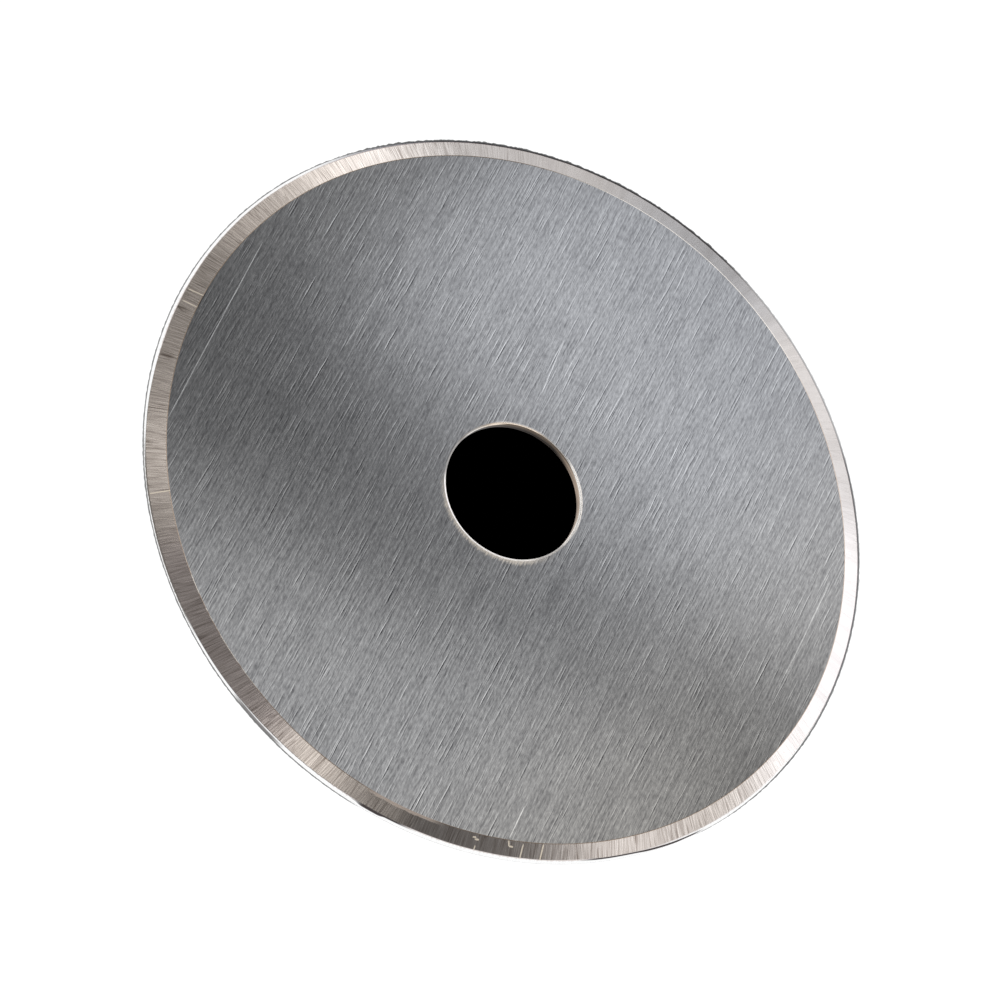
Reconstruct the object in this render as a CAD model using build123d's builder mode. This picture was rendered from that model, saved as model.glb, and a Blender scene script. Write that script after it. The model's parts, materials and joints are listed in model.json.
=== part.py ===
# Rotary cutter blade: a round blade for cutting cloth, paper and film.
#
# The blade is one piece of hardened strip steel. It lies on its flat back,
# with the ground side up and the axis of its hole on Z. Sizes are in mm.
#
# The edge is ground on the front only. A wide bevel runs down from the face,
# and a narrow, steeper bevel honed along the rim gives the cutting edge. The
# hole in the middle runs on the cutter's spindle, and both its rims are broken
# so that the blade slips on without a burr.

import os
from math import radians, tan

from build123d import *

# Blank, cut from cold rolled strip
blade_diameter = 45.0
strip_thickness = 0.5

# Ground edge: both angles are measured from the face
bevel_angle = 18.5
hone_angle = 38.0
hone_width = 0.18
edge_thickness = 0.02

# Hole for the spindle, with its broken rims
bore_diameter = 8.4
front_rim_width = 0.12
front_rim_depth = 0.07
back_rim_break = 0.05

# Section of the blade, worked from the cutting edge inward
edge_radius = blade_diameter / 2
hone_radius = edge_radius - hone_width
hone_height = edge_thickness + hone_width * tan(radians(hone_angle))
bevel_drop = strip_thickness - hone_height
bevel_radius = hone_radius - bevel_drop / tan(radians(bevel_angle))
bore_radius = bore_diameter / 2

with BuildPart() as blade:
    # Half of the section stands on the XZ plane and is turned about the axis
    with BuildSketch(Plane.XZ):
        with BuildLine():
            back = Line((bore_radius, 0), (edge_radius, 0))
            edge = Line(back @ 1, (edge_radius, edge_thickness))
            hone = Line(edge @ 1, (hone_radius, hone_height))
            bevel = Line(hone @ 1, (bevel_radius, strip_thickness))
            face = Line(bevel @ 1, (bore_radius, strip_thickness))
            Line(face @ 1, back @ 0)
        make_face()
    revolve(axis=Axis.Z)

    # The front rim is broken wider than it is deep, and the back rim evenly
    front_face = blade.faces().sort_by(Axis.Z)[-1]
    front_rim = front_face.edges().sort_by(SortBy.RADIUS)[0]
    chamfer(front_rim, length=front_rim_width, length2=front_rim_depth, reference=front_face)
    back_face = blade.faces().sort_by(Axis.Z)[0]
    back_rim = back_face.edges().sort_by(SortBy.RADIUS)[0]
    chamfer(back_rim, length=back_rim_break)

blade.part.label = "blade"

os.makedirs("parts", exist_ok=True)
export_step(blade.part, "parts/blade.step")
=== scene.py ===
import json
from math import atan2, cos, pi, radians, sin, tan

import bpy
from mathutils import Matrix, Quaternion, Vector, noise


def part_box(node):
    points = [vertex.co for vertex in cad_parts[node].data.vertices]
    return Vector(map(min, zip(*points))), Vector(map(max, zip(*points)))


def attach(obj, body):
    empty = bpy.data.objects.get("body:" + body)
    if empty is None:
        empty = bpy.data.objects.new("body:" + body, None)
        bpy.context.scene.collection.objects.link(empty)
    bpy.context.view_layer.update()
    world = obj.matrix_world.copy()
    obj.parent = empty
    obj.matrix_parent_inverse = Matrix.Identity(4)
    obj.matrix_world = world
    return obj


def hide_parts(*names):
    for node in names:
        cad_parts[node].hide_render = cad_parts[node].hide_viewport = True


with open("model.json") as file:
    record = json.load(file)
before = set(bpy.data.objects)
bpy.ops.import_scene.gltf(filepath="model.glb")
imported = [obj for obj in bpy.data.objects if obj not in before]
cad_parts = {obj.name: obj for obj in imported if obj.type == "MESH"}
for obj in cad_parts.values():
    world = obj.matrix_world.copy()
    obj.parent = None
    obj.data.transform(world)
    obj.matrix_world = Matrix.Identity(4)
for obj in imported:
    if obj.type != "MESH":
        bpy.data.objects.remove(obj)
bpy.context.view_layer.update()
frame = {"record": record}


# The blade is one disc punched from hardened strip steel. Its front is ground
# to a wide bevel and honed along the rim, its back stays flat, and the punch
# has rolled the rims of the hole over. It is turned here ring by ring.
low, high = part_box("blade")
strip = high.z - low.z
edge_radius = (high.x - low.x) / 2
spindle_hole = next(m for m in frame["record"]["mounts"] if m["name"] == "bore")
hole_radius = spindle_hole["dims"]["r_mm"] / 1000

bevel_angle = radians(18.5)
hone_angle = radians(38.0)
hone_width = 0.00018
edge_height = 0.00002
rim_width = 0.00012
rim_depth = 0.00007
back_break = 0.00005
burr = 0.00002

hone_radius = edge_radius - hone_width
hone_height = edge_height + hone_width * tan(hone_angle)
bevel_radius = hone_radius - (strip - hone_height) / tan(bevel_angle)
segments = 1440
rim_steps = 6

bpy.ops.object.select_all(action="DESELECT")
bpy.ops.mesh.primitive_circle_add(vertices=segments, radius=hole_radius)
blade = bpy.context.object
blade.name = "blade_disc"
bpy.ops.object.mode_set(mode="EDIT")
bpy.ops.mesh.select_all(action="SELECT")
wall_top = strip - rim_depth
turned = [hole_radius, wall_top - burr / 2]
bpy.ops.transform.translate(value=(0, 0, turned[1]))


def turn_to(radius, height):
    """Draws the open rim of the disc out to a new radius and height."""
    bpy.ops.mesh.extrude_region_move()
    grow = radius / turned[0]
    bpy.ops.transform.resize(value=(grow, grow, 1), center_override=(0, 0, turned[1]))
    bpy.ops.transform.translate(value=(0, 0, height - turned[1]))
    turned[:] = radius, height


# The rolled front rim is a quarter round, wider than it is deep. A ring close to
# each side of a corner keeps the shading of the flat beside it flat.
for step in range(rim_steps + 1):
    turn = step / rim_steps * pi / 2
    turn_to(hole_radius + rim_width * (1 - cos(turn)), wall_top + rim_depth * sin(turn))
for radius in (hole_radius + rim_width + burr / 2, bevel_radius - 2 * burr, bevel_radius - burr):
    turn_to(radius, strip)
for radius in (
    bevel_radius + burr / 2, bevel_radius + burr, hone_radius - burr, hone_radius - burr / 4
):
    turn_to(radius, strip - (radius - bevel_radius) * tan(bevel_angle))
for radius in (hone_radius + burr / 4, hone_radius + burr, edge_radius):
    turn_to(radius, edge_height + (edge_radius - radius) * tan(hone_angle))
turn_to(edge_radius, 0)
turn_to(hole_radius + back_break, 0)
turn_to(hole_radius, back_break)
turn_to(hole_radius, wall_top - burr / 2)
bpy.ops.mesh.select_all(action="SELECT")
bpy.ops.mesh.remove_doubles(threshold=1e-7)
bpy.ops.mesh.normals_make_consistent(inside=False)
bpy.ops.object.mode_set(mode="OBJECT")

# The finishes follow below in this order. The bevel lies flatter than the hone.
face_finish, bevel_finish, hone_finish, hole_finish = range(4)
for face in blade.data.polygons:
    if Vector(face.center.xy).length < hole_radius + rim_width:
        face.material_index = hole_finish
    elif abs(face.normal.z) > 0.999:
        face.material_index = face_finish
    elif face.normal.z > 0.9:
        face.material_index = bevel_finish
    else:
        face.material_index = hone_finish


def ramp(place, azimuth, low, high):
    """1 on the side of the blade at that azimuth, 0 on the far side, smooth between."""
    along = cos(radians(azimuth)) * place.x + sin(radians(azimuth)) * place.y
    part = min(max((along - low) / (high - low), 0), 1)
    return part * part * (3 - 2 * part)


# The bevel was ground a little off centre, so that it starts farther out on the
# near right. The hone wanders along the rim. It is narrow on the near left, and a
# little wider on the far side.
off_centre = 0.00014
hone_wander = 0.000012
hone_drift = ((-122, 0.84, 0.96, 0.00010), (-88, 0.97, 0.99, 0.00002), (88, 0.5, 0.9, -0.00003))
for vertex in blade.data.vertices:
    radius = vertex.co.xy.length
    place = vertex.co.xy.to_3d() / radius
    if vertex.co.z > edge_height * 2 and radius > bevel_radius - 3 * burr:
        shift = off_centre * ramp(place, -28, 0.3, 0.8)
        if radius < bevel_radius + 3 * burr:
            vertex.co += place * shift
        else:
            wander = hone_wander * (noise.noise(place * 3) + noise.noise(place * 14))
            for azimuth, start, full, drift in hone_drift:
                wander += drift * ramp(place, azimuth, start, full)
            vertex.co += place * wander + Vector((0, 0, (shift - wander) * tan(bevel_angle)))

bpy.ops.object.shade_smooth_by_angle(angle=radians(30))


class Signal:
    """A node's output. Maths on it adds Math nodes, and node() adds any other node."""

    def __init__(self, socket):
        self.socket = socket

    def node(self, kind, settings, sockets, output=0):
        """Adds a node with its settings, and fills its sockets with values or signals."""
        tree = self.socket.id_data
        added = tree.nodes.new(kind)
        for name, value in settings.items():
            setattr(added, name, value)
        for name, value in sockets.items():
            if isinstance(value, Signal):
                tree.links.new(value.socket, added.inputs[name])
            else:
                added.inputs[name].default_value = value
        return Signal(added.outputs[output])

    def other(self, output):
        """Another output of the node that this signal comes from."""
        return Signal(self.socket.node.outputs[output])

    def rise(self, low, high):
        """0 up to low, 1 from high on, and smooth between them."""
        return self.node(
            "ShaderNodeMapRange",
            {"interpolation_type": "SMOOTHSTEP"},
            {"Value": self, "From Min": low, "From Max": high},
        )

    def clipped(self, low, high):
        return self.node("ShaderNodeClamp", {}, {"Value": self, "Min": low, "Max": high})

    def maths(self, operation, first, second):
        return self.node("ShaderNodeMath", {"operation": operation}, {0: first, 1: second})

    def __add__(self, other):
        return self.maths("ADD", self, other)

    def __radd__(self, other):
        return self.maths("ADD", other, self)

    def __sub__(self, other):
        return self.maths("SUBTRACT", self, other)

    def __rsub__(self, other):
        return self.maths("SUBTRACT", other, self)

    def __mul__(self, other):
        return self.maths("MULTIPLY", self, other)

    def __rmul__(self, other):
        return self.maths("MULTIPLY", other, self)

    def __truediv__(self, other):
        return self.maths("DIVIDE", self, other)

    def __rtruediv__(self, other):
        return self.maths("DIVIDE", other, self)


def new_finish(name):
    """Gives the blade one more steel finish, and returns its shader and the place on the blade."""
    finish = bpy.data.materials.new(name)
    finish.use_nodes = True
    shader = finish.node_tree.nodes["Principled BSDF"]
    shader.inputs["Metallic"].default_value = 1.0
    where = finish.node_tree.nodes.new("ShaderNodeTexCoord")
    blade.data.materials.append(finish)
    return shader, Signal(where.outputs["Object"])


def drive(shader, socket, signal):
    """Links a signal to one of a shader's sockets."""
    shader.id_data.links.new(signal.socket, shader.inputs[socket])


def mixed(amount, first, second, beyond=False):
    """The first colour at 0 and the second at 1, and past them where beyond is true."""
    # The node's sockets 6 and 7 take the two colours, and its output 2 gives their mix
    return amount.node(
        "ShaderNodeMix",
        {"data_type": "RGBA", "clamp_factor": not beyond},
        {"Factor": amount, 6: first, 7: second},
        output=2,
    )


def across(place):
    """How far from the hole's axis, and the direction out from it as a vector."""
    flat = place.node("ShaderNodeVectorMath", {"operation": "MULTIPLY"}, {0: place, 1: (1, 1, 0)})
    outward = flat.node("ShaderNodeVectorMath", {"operation": "NORMALIZE"}, {0: flat})
    return flat.node("ShaderNodeVectorMath", {"operation": "LENGTH"}, {0: flat}, output=1), outward


def side(outward, azimuth, low, high):
    """1 on the side of the blade at that azimuth, 0 on the far side, smooth between."""
    towards = (cos(radians(azimuth)), sin(radians(azimuth)), 0)
    return outward.node(
        "ShaderNodeVectorMath", {"operation": "DOT_PRODUCT"}, {0: outward, 1: towards}, output=1
    ).rise(low, high)


def turned_noise(outward, radius, arc, depth, reach, shift=0.0, detail=0.0):
    """Noise on a turned surface, less its mean: its grain is arc long round the blade
    and reach long in depth, which is how far out or how high a point lies."""
    round_it = outward.node(
        "ShaderNodeVectorMath", {"operation": "SCALE"}, {0: outward, "Scale": radius / arc}
    )
    up = outward.node("ShaderNodeCombineXYZ", {}, {"Z": depth * (1 / reach) + shift})
    grain = round_it.node("ShaderNodeVectorMath", {"operation": "ADD"}, {0: round_it, 1: up})
    return grain.node("ShaderNodeTexNoise", {}, {"Vector": grain, "Scale": 1.0, "Detail": detail}) - 0.5


# Front and back faces: strip steel brushed in one direction. Hairline scratches lie
# over a finely mottled ground; one flank of each is a painted highlight, the other painted shade.
brush_angle = radians(106)
scratch_depth = 0.0000009


def along_brush(place, length, width, askew=0.0, shift=0.0):
    """Coordinates that run along the brushing in lengths and across it in widths."""
    return place.node(
        "ShaderNodeMapping",
        {"vector_type": "TEXTURE"},
        {
            "Vector": place,
            "Location": (shift, shift, 0),
            "Rotation": (0, 0, brush_angle + radians(askew)),
            "Scale": (length, width, 1),
        },
    )


def streaks(place, length, width, askew=0.0, detail=0.0):
    """Noise drawn out along the brushing, less its mean."""
    lie = along_brush(place, length, width, askew)
    return lie.node(
        "ShaderNodeTexNoise", {"noise_dimensions": "2D"}, {"Vector": lie, "Scale": 1.0, "Detail": detail}
    ) - 0.5


def scratches(place, length, width, spacing, askew=0.0, shift=0.0):
    """Scratches that lie one to a cell: their depth, and which flank is which."""
    lie = along_brush(place, length * spacing, width * spacing, askew, shift)
    near = lie.node("ShaderNodeTexVoronoi", {"voronoi_dimensions": "2D"}, {"Vector": lie, "Scale": 1.0})
    offset = lie.node(
        "ShaderNodeVectorMath", {"operation": "SUBTRACT"}, {0: lie, 1: near.other("Position")}
    )
    flank = offset.node("ShaderNodeSeparateXYZ", {}, {"Vector": offset}, output="Y")
    chance = near.node("ShaderNodeSeparateColor", {}, {"Color": near.other("Color")}, output="Red")
    groove = near.rise(0.5 / spacing, 0.2 / spacing) * chance * chance * chance
    return groove, (flank * (8.0 * spacing)).clipped(-1.0, 1.0)


def long_scratch(place, start, end, width):
    """One scratch from a start to an end: its depth, and which flank is which."""
    run = Vector(end) - Vector(start)
    middle = (Vector(end) + Vector(start)) / 2
    lie = place.node(
        "ShaderNodeMapping",
        {"vector_type": "TEXTURE"},
        {
            "Vector": place,
            "Location": (middle.x, middle.y, 0),
            "Rotation": (0, 0, atan2(run.y, run.x)),
            "Scale": (run.length / 2, width / 2, 1),
        },
    )
    along = lie.node("ShaderNodeSeparateXYZ", {}, {"Vector": lie}, output="X")
    flank = along.other("Y")
    deep = (1 - along * along).clipped(0.0, 1.0) * (1 - flank * flank).clipped(0.0, 1.0)
    return deep.rise(0.0, 0.3), flank.clipped(-1.0, 1.0)


# The brushing runs a few hundredths of a millimetre out of line
shader, straight = new_finish("brushed strip steel")
lie = along_brush(straight, 0.0012, 0.0006)
drift = lie.node(
    "ShaderNodeTexNoise",
    {"noise_dimensions": "2D"},
    {"Vector": lie, "Scale": 1.0, "Detail": 1.0},
    output=1,
)
place = drift.node(
    "ShaderNodeVectorMath",
    {"operation": "MULTIPLY_ADD"},
    {0: drift, 1: (0.00006, 0.00006, 0), 2: straight},
)
mottle = streaks(place, 0.00036, 0.00011, 8, detail=2.0)
lines = streaks(place, 0.0030, 0.00009) + streaks(place, 0.0012, 0.00008, 1.5) * 0.8
bands = streaks(place, 0.0060, 0.00040, -1.0)
tone = mottle * 1.03 + lines * 0.53 + bands * 0.21 + 1.0
relief = lines * 0.5
# Each scratch is a groove in the bump, with a painted highlight on one flank and painted shade on the
# other
for length, width, spacing, askew, shift, depth in (
    (0.0024, 0.00014, 1.7, 0.0, 0.0, 0.9),
    (0.0050, 0.00014, 1.9, -1.2, 0.4, 0.9),
    (0.0013, 0.00013, 1.6, 1.5, 0.8, 0.7),
    (0.0030, 0.00013, 1.6, 0.7, 0.2, 0.9),
):
    groove, flank = scratches(place, length, width, spacing, askew, shift)
    tone = tone + groove * (flank + 0.15) * depth
    relief = relief - groove
# Five long scratches are painted bright along their grooves as glints
for start, end, width, glint in (
    ((-0.01622, -0.01410), (-0.02058, -0.00043), 0.00007, 2.6),
    ((0.01663, 0.01197), (0.01875, 0.00487), 0.00008, 1.2),
    ((-0.00452, 0.00990), (-0.00301, 0.00595), 0.00008, 1.5),
    ((-0.01396, 0.00324), (-0.01273, -0.00175), 0.00008, 1.5),
    ((0.01346, -0.01376), (0.01419, -0.01603), 0.00008, 1.8),
):
    groove, flank = long_scratch(straight, start, end, width)
    tone = tone + groove * (flank * 0.4 + 0.6) * glint
    relief = relief - groove

# A warm light is painted on the right of the steel, and its brushing is fainter on the far side
rightwards = straight.node("ShaderNodeSeparateXYZ", {}, {"Vector": straight}, output="X")
painted_warm_light = rightwards.rise(0.004, 0.022)
calm = rightwards.other("Y").rise(-0.006, 0.012)
tone = (tone - 1) * (1 - calm * 0.16) + 1
ground = mixed(painted_warm_light, (0.309, 0.310, 0.315, 1), (0.319, 0.310, 0.297, 1))
steel = mixed(tone, (0, 0, 0.008, 1), ground, beyond=True)

# The punch burnished the face beside the hole, most on one side; the band's bright cream is partly a
# painted highlight
out, outward = across(straight)
fringe = streaks(place, 0.0007, 0.00009) * 0.0003
burnish_and_highlight = (out + fringe).rise(hole_radius + 0.00045, hole_radius + 0.00012)
burnish_and_highlight = burnish_and_highlight * side(outward, -80, 0.3, 0.9)
steel = mixed(burnish_and_highlight * 0.9, steel, (0.93, 0.84, 0.73, 1))
# A painted highlight lies on the face just past the rolled rim, strongly on the far right and faintly on
# the far left, as the rim's bright ridge
past_rim = out + fringe * 0.1 - (hole_radius + rim_width)
ridge_highlight = side(outward, 47, 0.80, 0.93) + side(outward, 125, 0.90, 0.97) * 0.35
ridge_highlight = past_rim.rise(0.00009, 0.00004) * ridge_highlight
drive(shader, "Base Color", mixed(ridge_highlight, steel, (0.98, 0.91, 0.83, 1)))
shader.inputs["Roughness"].default_value = 0.22
grain = relief.node("ShaderNodeBump", {}, {"Height": relief, "Distance": scratch_depth})
drive(shader, "Normal", grain)

# Primary bevel: ground with the wheel across the rim, so its lines run out from the
# hole and lean a little. It is coloured warmer than the face.
wheel_lean = radians(6)
wheel_mark_depth = 0.0000005
shader, place = new_finish("ground bevel")
out, outward = across(place)
broad = turned_noise(outward, edge_radius, 0.00055, out, 0.0030, shift=9.0)
lean = (out - bevel_radius) * (broad * 0.25 + tan(wheel_lean)) / edge_radius
leaning = outward.node(
    "ShaderNodeVectorRotate", {"rotation_type": "Z_AXIS"}, {"Vector": outward, "Angle": lean}
)
fine = turned_noise(leaning, edge_radius, 0.00005, out, 0.0010)
long = turned_noise(leaning, edge_radius, 0.00007, out, 0.0026, shift=5.0)
soft = turned_noise(leaning, edge_radius, 0.00022, out, 0.0040, shift=7.0)
calm = side(outward, 68, 0.15, 0.65)
strength = (1 - calm * 0.88) * (side(outward, -45, 0.5, 0.9) * 0.22 + 0.78)
lines = (fine * 0.95 + long * 0.65) * strength + soft * 0.12 + broad * 0.20

# Thin dark lines lie close together, and deeper ones at odd distances between them
dense = turned_noise(leaning, edge_radius, 0.00013, out, 0.0024, shift=15.0)
lines = lines + (0.3 - (dense * dense).rise(0.0025, 0.0)) * strength * 0.30
drawn = turned_noise(leaning, edge_radius, 0.00034, out, 0.0060, shift=11.0)
patchy = turned_noise(outward, edge_radius, 0.0012, out, 0.0010, shift=13.0)
lines = lines - (drawn * drawn).rise(0.0011, 0.0) * patchy.rise(-0.05, 0.15) * (0.42 - calm * 0.34)

# The bevel's colour is painted light and shade as it falls round the rim: warm on the near side, cooler
# on the far side, with stretches of its own, and the two darkest stretches are painted shade
light = mixed(side(outward, 76, -0.35, 0.60) * 0.85, (0.685, 0.607, 0.545, 1), (0.643, 0.613, 0.604, 1))
for azimuth, start, full, tint in (
    (97, 0.93, 1.0, (0.618, 0.603, 0.610, 1)),
    (-104, 0.93, 0.98, (0.690, 0.602, 0.563, 1)),
    (-38, 0.88, 0.97, (0.475, 0.430, 0.400, 1)),
    (-54, 0.972, 0.992, (0.395, 0.355, 0.330, 1)),
):
    light = mixed(side(outward, azimuth, start, full), light, tint)
colour = mixed(lines + 1.0, (0.07, 0.035, 0.015, 1), light, beyond=True)

# A thin burr stands where the bevel meets the face. On two stretches its colour is a painted
# cream highlight, and elsewhere it is dark brown, partly its own colour and partly painted shade that
# hides the highlight of its facet.
past_burr = out - side(outward, -28, 0.3, 0.8) * off_centre - bevel_radius
broken = turned_noise(outward, edge_radius, 0.0006, out, 0.001, shift=3.0, detail=2.0)
burr_highlight = side(outward, 97, 0.85, 0.97) + side(outward, -106, 0.975, 0.99) * broken.rise(-0.1, 0.0)
burr_highlight_and_shade = mixed(burr_highlight, (0.42, 0.32, 0.24, 1), (0.84, 0.77, 0.68, 1))
colour = mixed(past_burr.rise(2 * burr, burr / 2) * 0.85, colour, burr_highlight_and_shade)

# The wheel skipped a strip along the burr on the near side, and left it matt
skipped = (past_burr + broken * 0.00012).rise(0.00016, 0.00010) * side(outward, -66, 0.992, 0.998)
colour = mixed(skipped * 0.9, colour, (0.60, 0.50, 0.43, 1))

# Nicks: two curls of burr that bent over the bevel, and a few stray grinding marks, all painted bright
# cream as their highlights
nick_highlights = out * 0.0
for start, end, width in (
    ((0.01266, -0.01758), (0.01284, -0.01743), 0.00010),
    ((0.01284, -0.01757), (0.01304, -0.01739), 0.00011),
    ((0.01312, -0.01775), (0.01330, -0.01812), 0.00007),
    ((0.01423, -0.01606), (0.01448, -0.01627), 0.00010),
    ((0.01446, -0.01627), (0.01469, -0.01609), 0.00010),
    ((0.01495, -0.01550), (0.01543, -0.01621), 0.00008),
    ((0.01575, -0.01454), (0.01631, -0.01535), 0.00009),
    ((-0.01395, -0.01760), (-0.01317, -0.01652), 0.00008),
    ((-0.02127, -0.00653), (-0.02031, -0.00626), 0.00007),
    ((-0.02100, -0.00732), (-0.02001, -0.00710), 0.00006),
    ((-0.01888, -0.00975), (-0.01873, -0.00991), 0.00007),
):
    nick_highlights = nick_highlights + long_scratch(place, start, end, width)[0]
nick_highlights = nick_highlights.clipped(0.0, 1.0)
drive(shader, "Base Color", mixed(nick_highlights * 0.9, colour, (0.98, 0.86, 0.70, 1)))
drive(shader, "Metallic", 1 - (nick_highlights * 0.6 + skipped * 0.6).clipped(0.0, 0.7))
shader.inputs["Roughness"].default_value = 0.2
relief = (fine + long) * (1 - calm * 0.9)
grain = relief.node("ShaderNodeBump", {}, {"Height": relief, "Distance": wheel_mark_depth})
drive(shader, "Normal", grain)

# Honed edge: a narrow band polished on a fine stone. On the far side its colour is a painted
# dark reflection, and a painted shadow line lies beside the bevel at both ends of the near side.


def far_stretches(outward):
    """The far side of the edge, where its painted dark reflection and shadow lie, and two stretches of
    it where they show faint and where they are bare.
    """
    return side(outward, 88, 0.15, 0.40), side(outward, 50, 0.70, 0.88), side(outward, 75, 0.94, 0.98)


shader, place = new_finish("honed edge")
out, outward = across(place)
far, faint, bare = far_stretches(outward)
fine = turned_noise(outward, edge_radius, 0.00012, out, 0.0006)
ragged = out + fine * 0.00003
outer_part = ragged.rise(hone_radius, edge_radius)
far_dark_reflection = far * (1 - outer_part * (faint * 0.5 + 0.4)) * (1 - bare * 0.5)
strayed = side(outward, -10, 0.94, 0.995) + side(outward, -100, 0.90, 0.98)
stray = out - strayed * 0.00009 - hone_radius
thick = side(outward, -70.3, 0.9990, 0.9998) * 0.00005 + side(outward, -23, 0.9970, 0.9995) * 0.00002
painted_shadow_line = stray.rise(-0.00002, 0.00001) * (stray - thick).rise(0.00008, 0.00005)
painted_shadow_line = painted_shadow_line * side(outward, -44.5, 0.868, 0.892) * (1 - side(outward, -50, 0.961, 0.978))
# A painted shadow smears along the hone on the near side, and on the near left most of the hone's width
# is painted dark in the tone of the shaded bevel
painted_shadow_smear = out.rise(hone_radius + 0.00006, hone_radius + 0.00010) * side(outward, -91, 0.995, 0.999)
painted_bevel_shade = ragged.rise(edge_radius - 0.00002, edge_radius - 0.00004) * side(outward, -122, 0.955, 0.985)
light = mixed(far_dark_reflection, (1, 1, 1, 1), mixed(faint, (0.20, 0.20, 0.23, 1), (0.45, 0.45, 0.50, 1)))
light = mixed(painted_shadow_line + painted_shadow_smear * 0.8, light, (0.06, 0.05, 0.05, 1))
colour = mixed(fine * 0.1 + 1.0, (0, 0, 0, 1), light, beyond=True)
inner_line = (out + fine * 0.00006).rise(hone_radius + 0.00006, hone_radius + 0.00002)
colour = mixed(inner_line * (1 - painted_shadow_line) * 0.5, colour, (0.50, 0.38, 0.34, 1))
drive(shader, "Base Color", mixed(painted_bevel_shade, colour, (0.20, 0.18, 0.165, 1)))
shader.inputs["Roughness"].default_value = 0.12

# Hole: the punch sheared its wall in fine layers, and rolled its rim over bright. The wall's colour
# holds painted light on the right and towards its top, and painted shade lower down.
# The far side of the rim is bright only along its top, and stretches of it are painted dull, which
# narrows its highlight.
shader, place = new_finish("punched hole")
out, outward = across(place)
height = place.node("ShaderNodeSeparateXYZ", {}, {"Vector": place}, output="Z")
layers = turned_noise(outward, hole_radius, 0.0015, height, 0.00004, detail=1.0)
lit = side(outward, 0, -0.1, 0.6)
upper = height.rise(strip * 0.3, strip)
sheared_and_lit = layers * (lit * 1.2 + 0.6) + upper * (lit * 0.1 + 0.24) + lit * 0.65 + 0.01
wall = mixed(sheared_and_lit, (0.015, 0.009, 0.005, 1), (0.44, 0.345, 0.27, 1), beyond=True)
far = (side(outward, 75, 0.45, 0.75) + side(outward, 122, 0.90, 0.98)).clipped(0.0, 1.0)
up_rim = (height - wall_top) / rim_depth
rolled = (1 - far) * up_rim.rise(-0.1, 0.1) * (1 - up_rim.rise(0.6, 1.0) * 0.3)
rolled = rolled * (1 - up_rim.rise(0.3, 0.8) * side(outward, 167, 0.93, 0.99) * 0.6)
rolled = rolled + far * (up_rim + side(outward, 40, 0.80, 0.95) * 0.3).rise(0.65, 0.95)
rim_dimming = 1 - side(outward, -163, 0.90, 0.975) * 0.7 - side(outward, -15, 0.95, 0.99) * 0.4
rim_dimming = rim_dimming - side(outward, 92, 0.93, 0.985) * 0.5
bright = mixed(side(outward, 130, 0.80, 0.95), (1.0, 0.97, 0.93, 1), (1.0, 0.86, 0.72, 1))
bright = mixed(rim_dimming, (0, 0, 0, 1), bright)
drive(shader, "Base Color", mixed(rolled, wall, bright))
drive(shader, "Roughness", 0.45 - rolled * 0.2)

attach(blade, "root")
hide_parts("blade")


# Floor: a plain white sheet that the blade lies on. A painted contact shadow darkens it where the edge
# touches it, and it is dark under the hole, so that the hole reads as an opening.
spot_radius = hole_radius + 0.001
sheet_glow = 0.92
shade_share = 0.25
bpy.ops.object.select_all(action="DESELECT")
bpy.ops.mesh.primitive_plane_add(size=4, location=(0, 0, 0))
floor = bpy.context.object
floor.name = "floor"
sheet = bpy.data.materials.new("white sheet")
sheet.use_nodes = True
tree = sheet.node_tree
tree.nodes.clear()
place = Signal(tree.nodes.new("ShaderNodeTexCoord").outputs["Object"])
path = tree.nodes.new("ShaderNodeLightPath")
camera_ray, glossy_ray, glass_ray = (
    Signal(path.outputs[ray]) for ray in ("Is Camera Ray", "Is Glossy Ray", "Is Transmission Ray")
)
out, outward = across(place)
under_hole = out.maths("LESS_THAN", out, spot_radius) * camera_ray
gap = turned_noise(outward, edge_radius, 0.0003, out, 0.01, detail=2.0)
far, faint, bare = far_stretches(outward)
close = side(outward, 0, 0.35, 0.65)
open_line = 1 - side(outward, -44.5, 0.868, 0.892)
reach = out + gap * (far * 0.0001 + 0.0001) + close * 0.00003
painted_contact_shadow = reach.rise(edge_radius + 0.00010, edge_radius + 0.00003) * open_line
painted_contact_shadow = painted_contact_shadow * (far * 0.05 - faint * 0.40 - bare * 0.15 + 0.80)
# For glossy rays the painted shadow reaches a millimetre out, so that the hone reflects it dark
painted_reflected_shadow = (out + gap * 0.0006).rise(edge_radius + 0.0010, edge_radius + 0.0005) * glossy_ray
painted_reflected_shadow = painted_reflected_shadow * (0.9 - faint * 0.10 - bare * 0.25)
beside = out.rise(edge_radius - 0.002, edge_radius - 0.001)
dark = ((painted_contact_shadow + painted_reflected_shadow) * beside + under_hole).clipped(0.0, 1.0)
white = mixed(dark, (1, 1, 1, 1), (0, 0, 0, 1))
bounce = white.node("ShaderNodeBsdfDiffuse", {}, {"Color": white})
glow = white.node("ShaderNodeEmission", {}, {"Color": white, "Strength": sheet_glow})
black = white.node("ShaderNodeEmission", {}, {"Strength": 0.0})
shade = white.node("ShaderNodeMixShader", {}, {0: shade_share, 1: black, 2: bounce})
lit = white.node("ShaderNodeAddShader", {}, {0: glow, 1: shade})
seen = camera_ray + glossy_ray + glass_ray
both = white.node("ShaderNodeMixShader", {}, {0: seen, 1: bounce, 2: lit})
surface = tree.nodes.new("ShaderNodeOutputMaterial")
tree.links.new(both.socket, surface.inputs["Surface"])
floor.data.materials.append(sheet)


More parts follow.
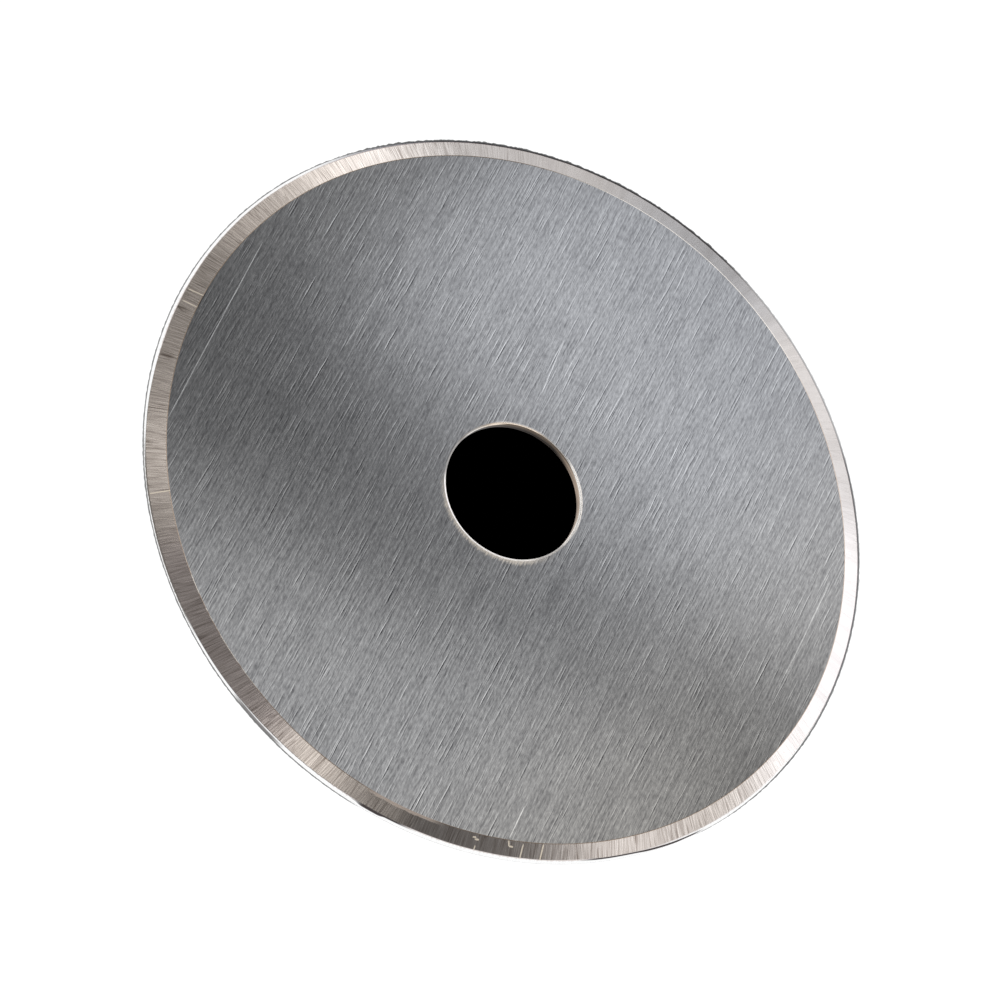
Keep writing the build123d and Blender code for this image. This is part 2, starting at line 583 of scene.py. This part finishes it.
# Light: a pale room with soft boxes. Three hang low over the blade, and their
# reflection shades its face. The others stand round it and light the ground edge.
room = bpy.data.worlds.new("room")
room.use_nodes = True
bpy.context.scene.world = room
background = room.node_tree.nodes["Background"]
sky = Signal(room.node_tree.nodes.new("ShaderNodeTexCoord").outputs["Generated"])
height = sky.node("ShaderNodeSeparateXYZ", {}, {"Vector": sky}, output="Z")
near = height.other("Y").rise(0.60, 0.15)
right = height.other("X").clipped(0.0, 1.0)
rising = (height - near * 0.45 - right * 0.3).rise(0.12, 0.35)
walls = mixed(rising, (1, 1, 1, 1), (0.21, 0.21, 0.21, 1))
room.node_tree.links.new(walls.socket, background.inputs["Color"])


def soft_box(name, place, size, turn, brightness, tint=(1, 1, 1)):
    """Hangs a soft box that shows in the steel but not in the picture itself."""
    lamp = bpy.data.lights.new(name, "AREA")
    lamp.shape = "RECTANGLE"
    lamp.size, lamp.size_y = size
    lamp.energy = brightness * pi * size[0] * size[1]
    lamp.color = tint
    box = bpy.data.objects.new(name, lamp)
    box.location = place
    box.rotation_mode = "QUATERNION"
    box.rotation_quaternion = Quaternion((0, 0, 1), radians(turn))
    box.visible_camera = False
    bpy.context.scene.collection.objects.link(box)
    return box


def standing_box(name, azimuth, elevation, size, turn, brightness, tint=(1, 1, 1)):
    """Stands a soft box 400 mm from the blade and aims it there. Its size is in degrees."""
    reach = 0.4
    place = Vector((
        cos(radians(elevation)) * cos(radians(azimuth)),
        cos(radians(elevation)) * sin(radians(azimuth)),
        sin(radians(elevation)),
    )) * reach
    width, height = (2 * reach * tan(radians(angle) / 2) for angle in size)
    box = soft_box(name, place, (width, height), turn, brightness, tint)
    box.rotation_quaternion = place.to_track_quat("Z", "Y") @ box.rotation_quaternion


sky_blue = (0.968, 1.0, 1.065)
soft_box("far_ceiling", (0.087, 0.116, 0.071), (0.225, 0.115), 7, 0.95, sky_blue)
soft_box("near_ceiling", (-0.005, 0.009, 0.062), (0.076, 0.025), 25, 0.84)
soft_box("left_ceiling", (-0.037, 0.0485, 0.062), (0.118, 0.0185), -2, 0.30)
standing_box("left_wall", 129, 29, (18.5, 11.5), -17, 1.40)
standing_box("right_wall", 51, 31, (31, 37), -20, 0.44)
standing_box("right_high", 32, 50, (26, 10), -30, 1.19)
standing_box("far_wall", 80, 27, (21, 24), 48, 0.69)
standing_box("overhead", -63, 78, (6.4, 9.4), 28, 1.39)
standing_box("left_high", 147, 55, (6.7, 36), -46, 1.17)
standing_box("low_wall", 112, 21, (34, 9.5), -12, 0.72)


# Camera: a long lens looks down on the blade from in front, a third of a metre away.
# It is rolled by half a right angle.
elevation = radians(58.15)
roll = radians(46.97)
distance = 0.33711
aim = Vector((-0.00016, -0.00074, 0))
lens = bpy.data.cameras.new("camera")
lens.lens = 209.4
camera = bpy.data.objects.new("camera", lens)
bpy.context.scene.collection.objects.link(camera)
back = Vector((0, -cos(elevation), sin(elevation)))
camera.location = aim + back * distance
camera.rotation_mode = "QUATERNION"
camera.rotation_quaternion = back.to_track_quat("Z", "Y") @ Quaternion((0, 0, 1), roll)
bpy.context.scene.camera = camera
bpy.context.scene.view_settings.view_transform = "Standard"
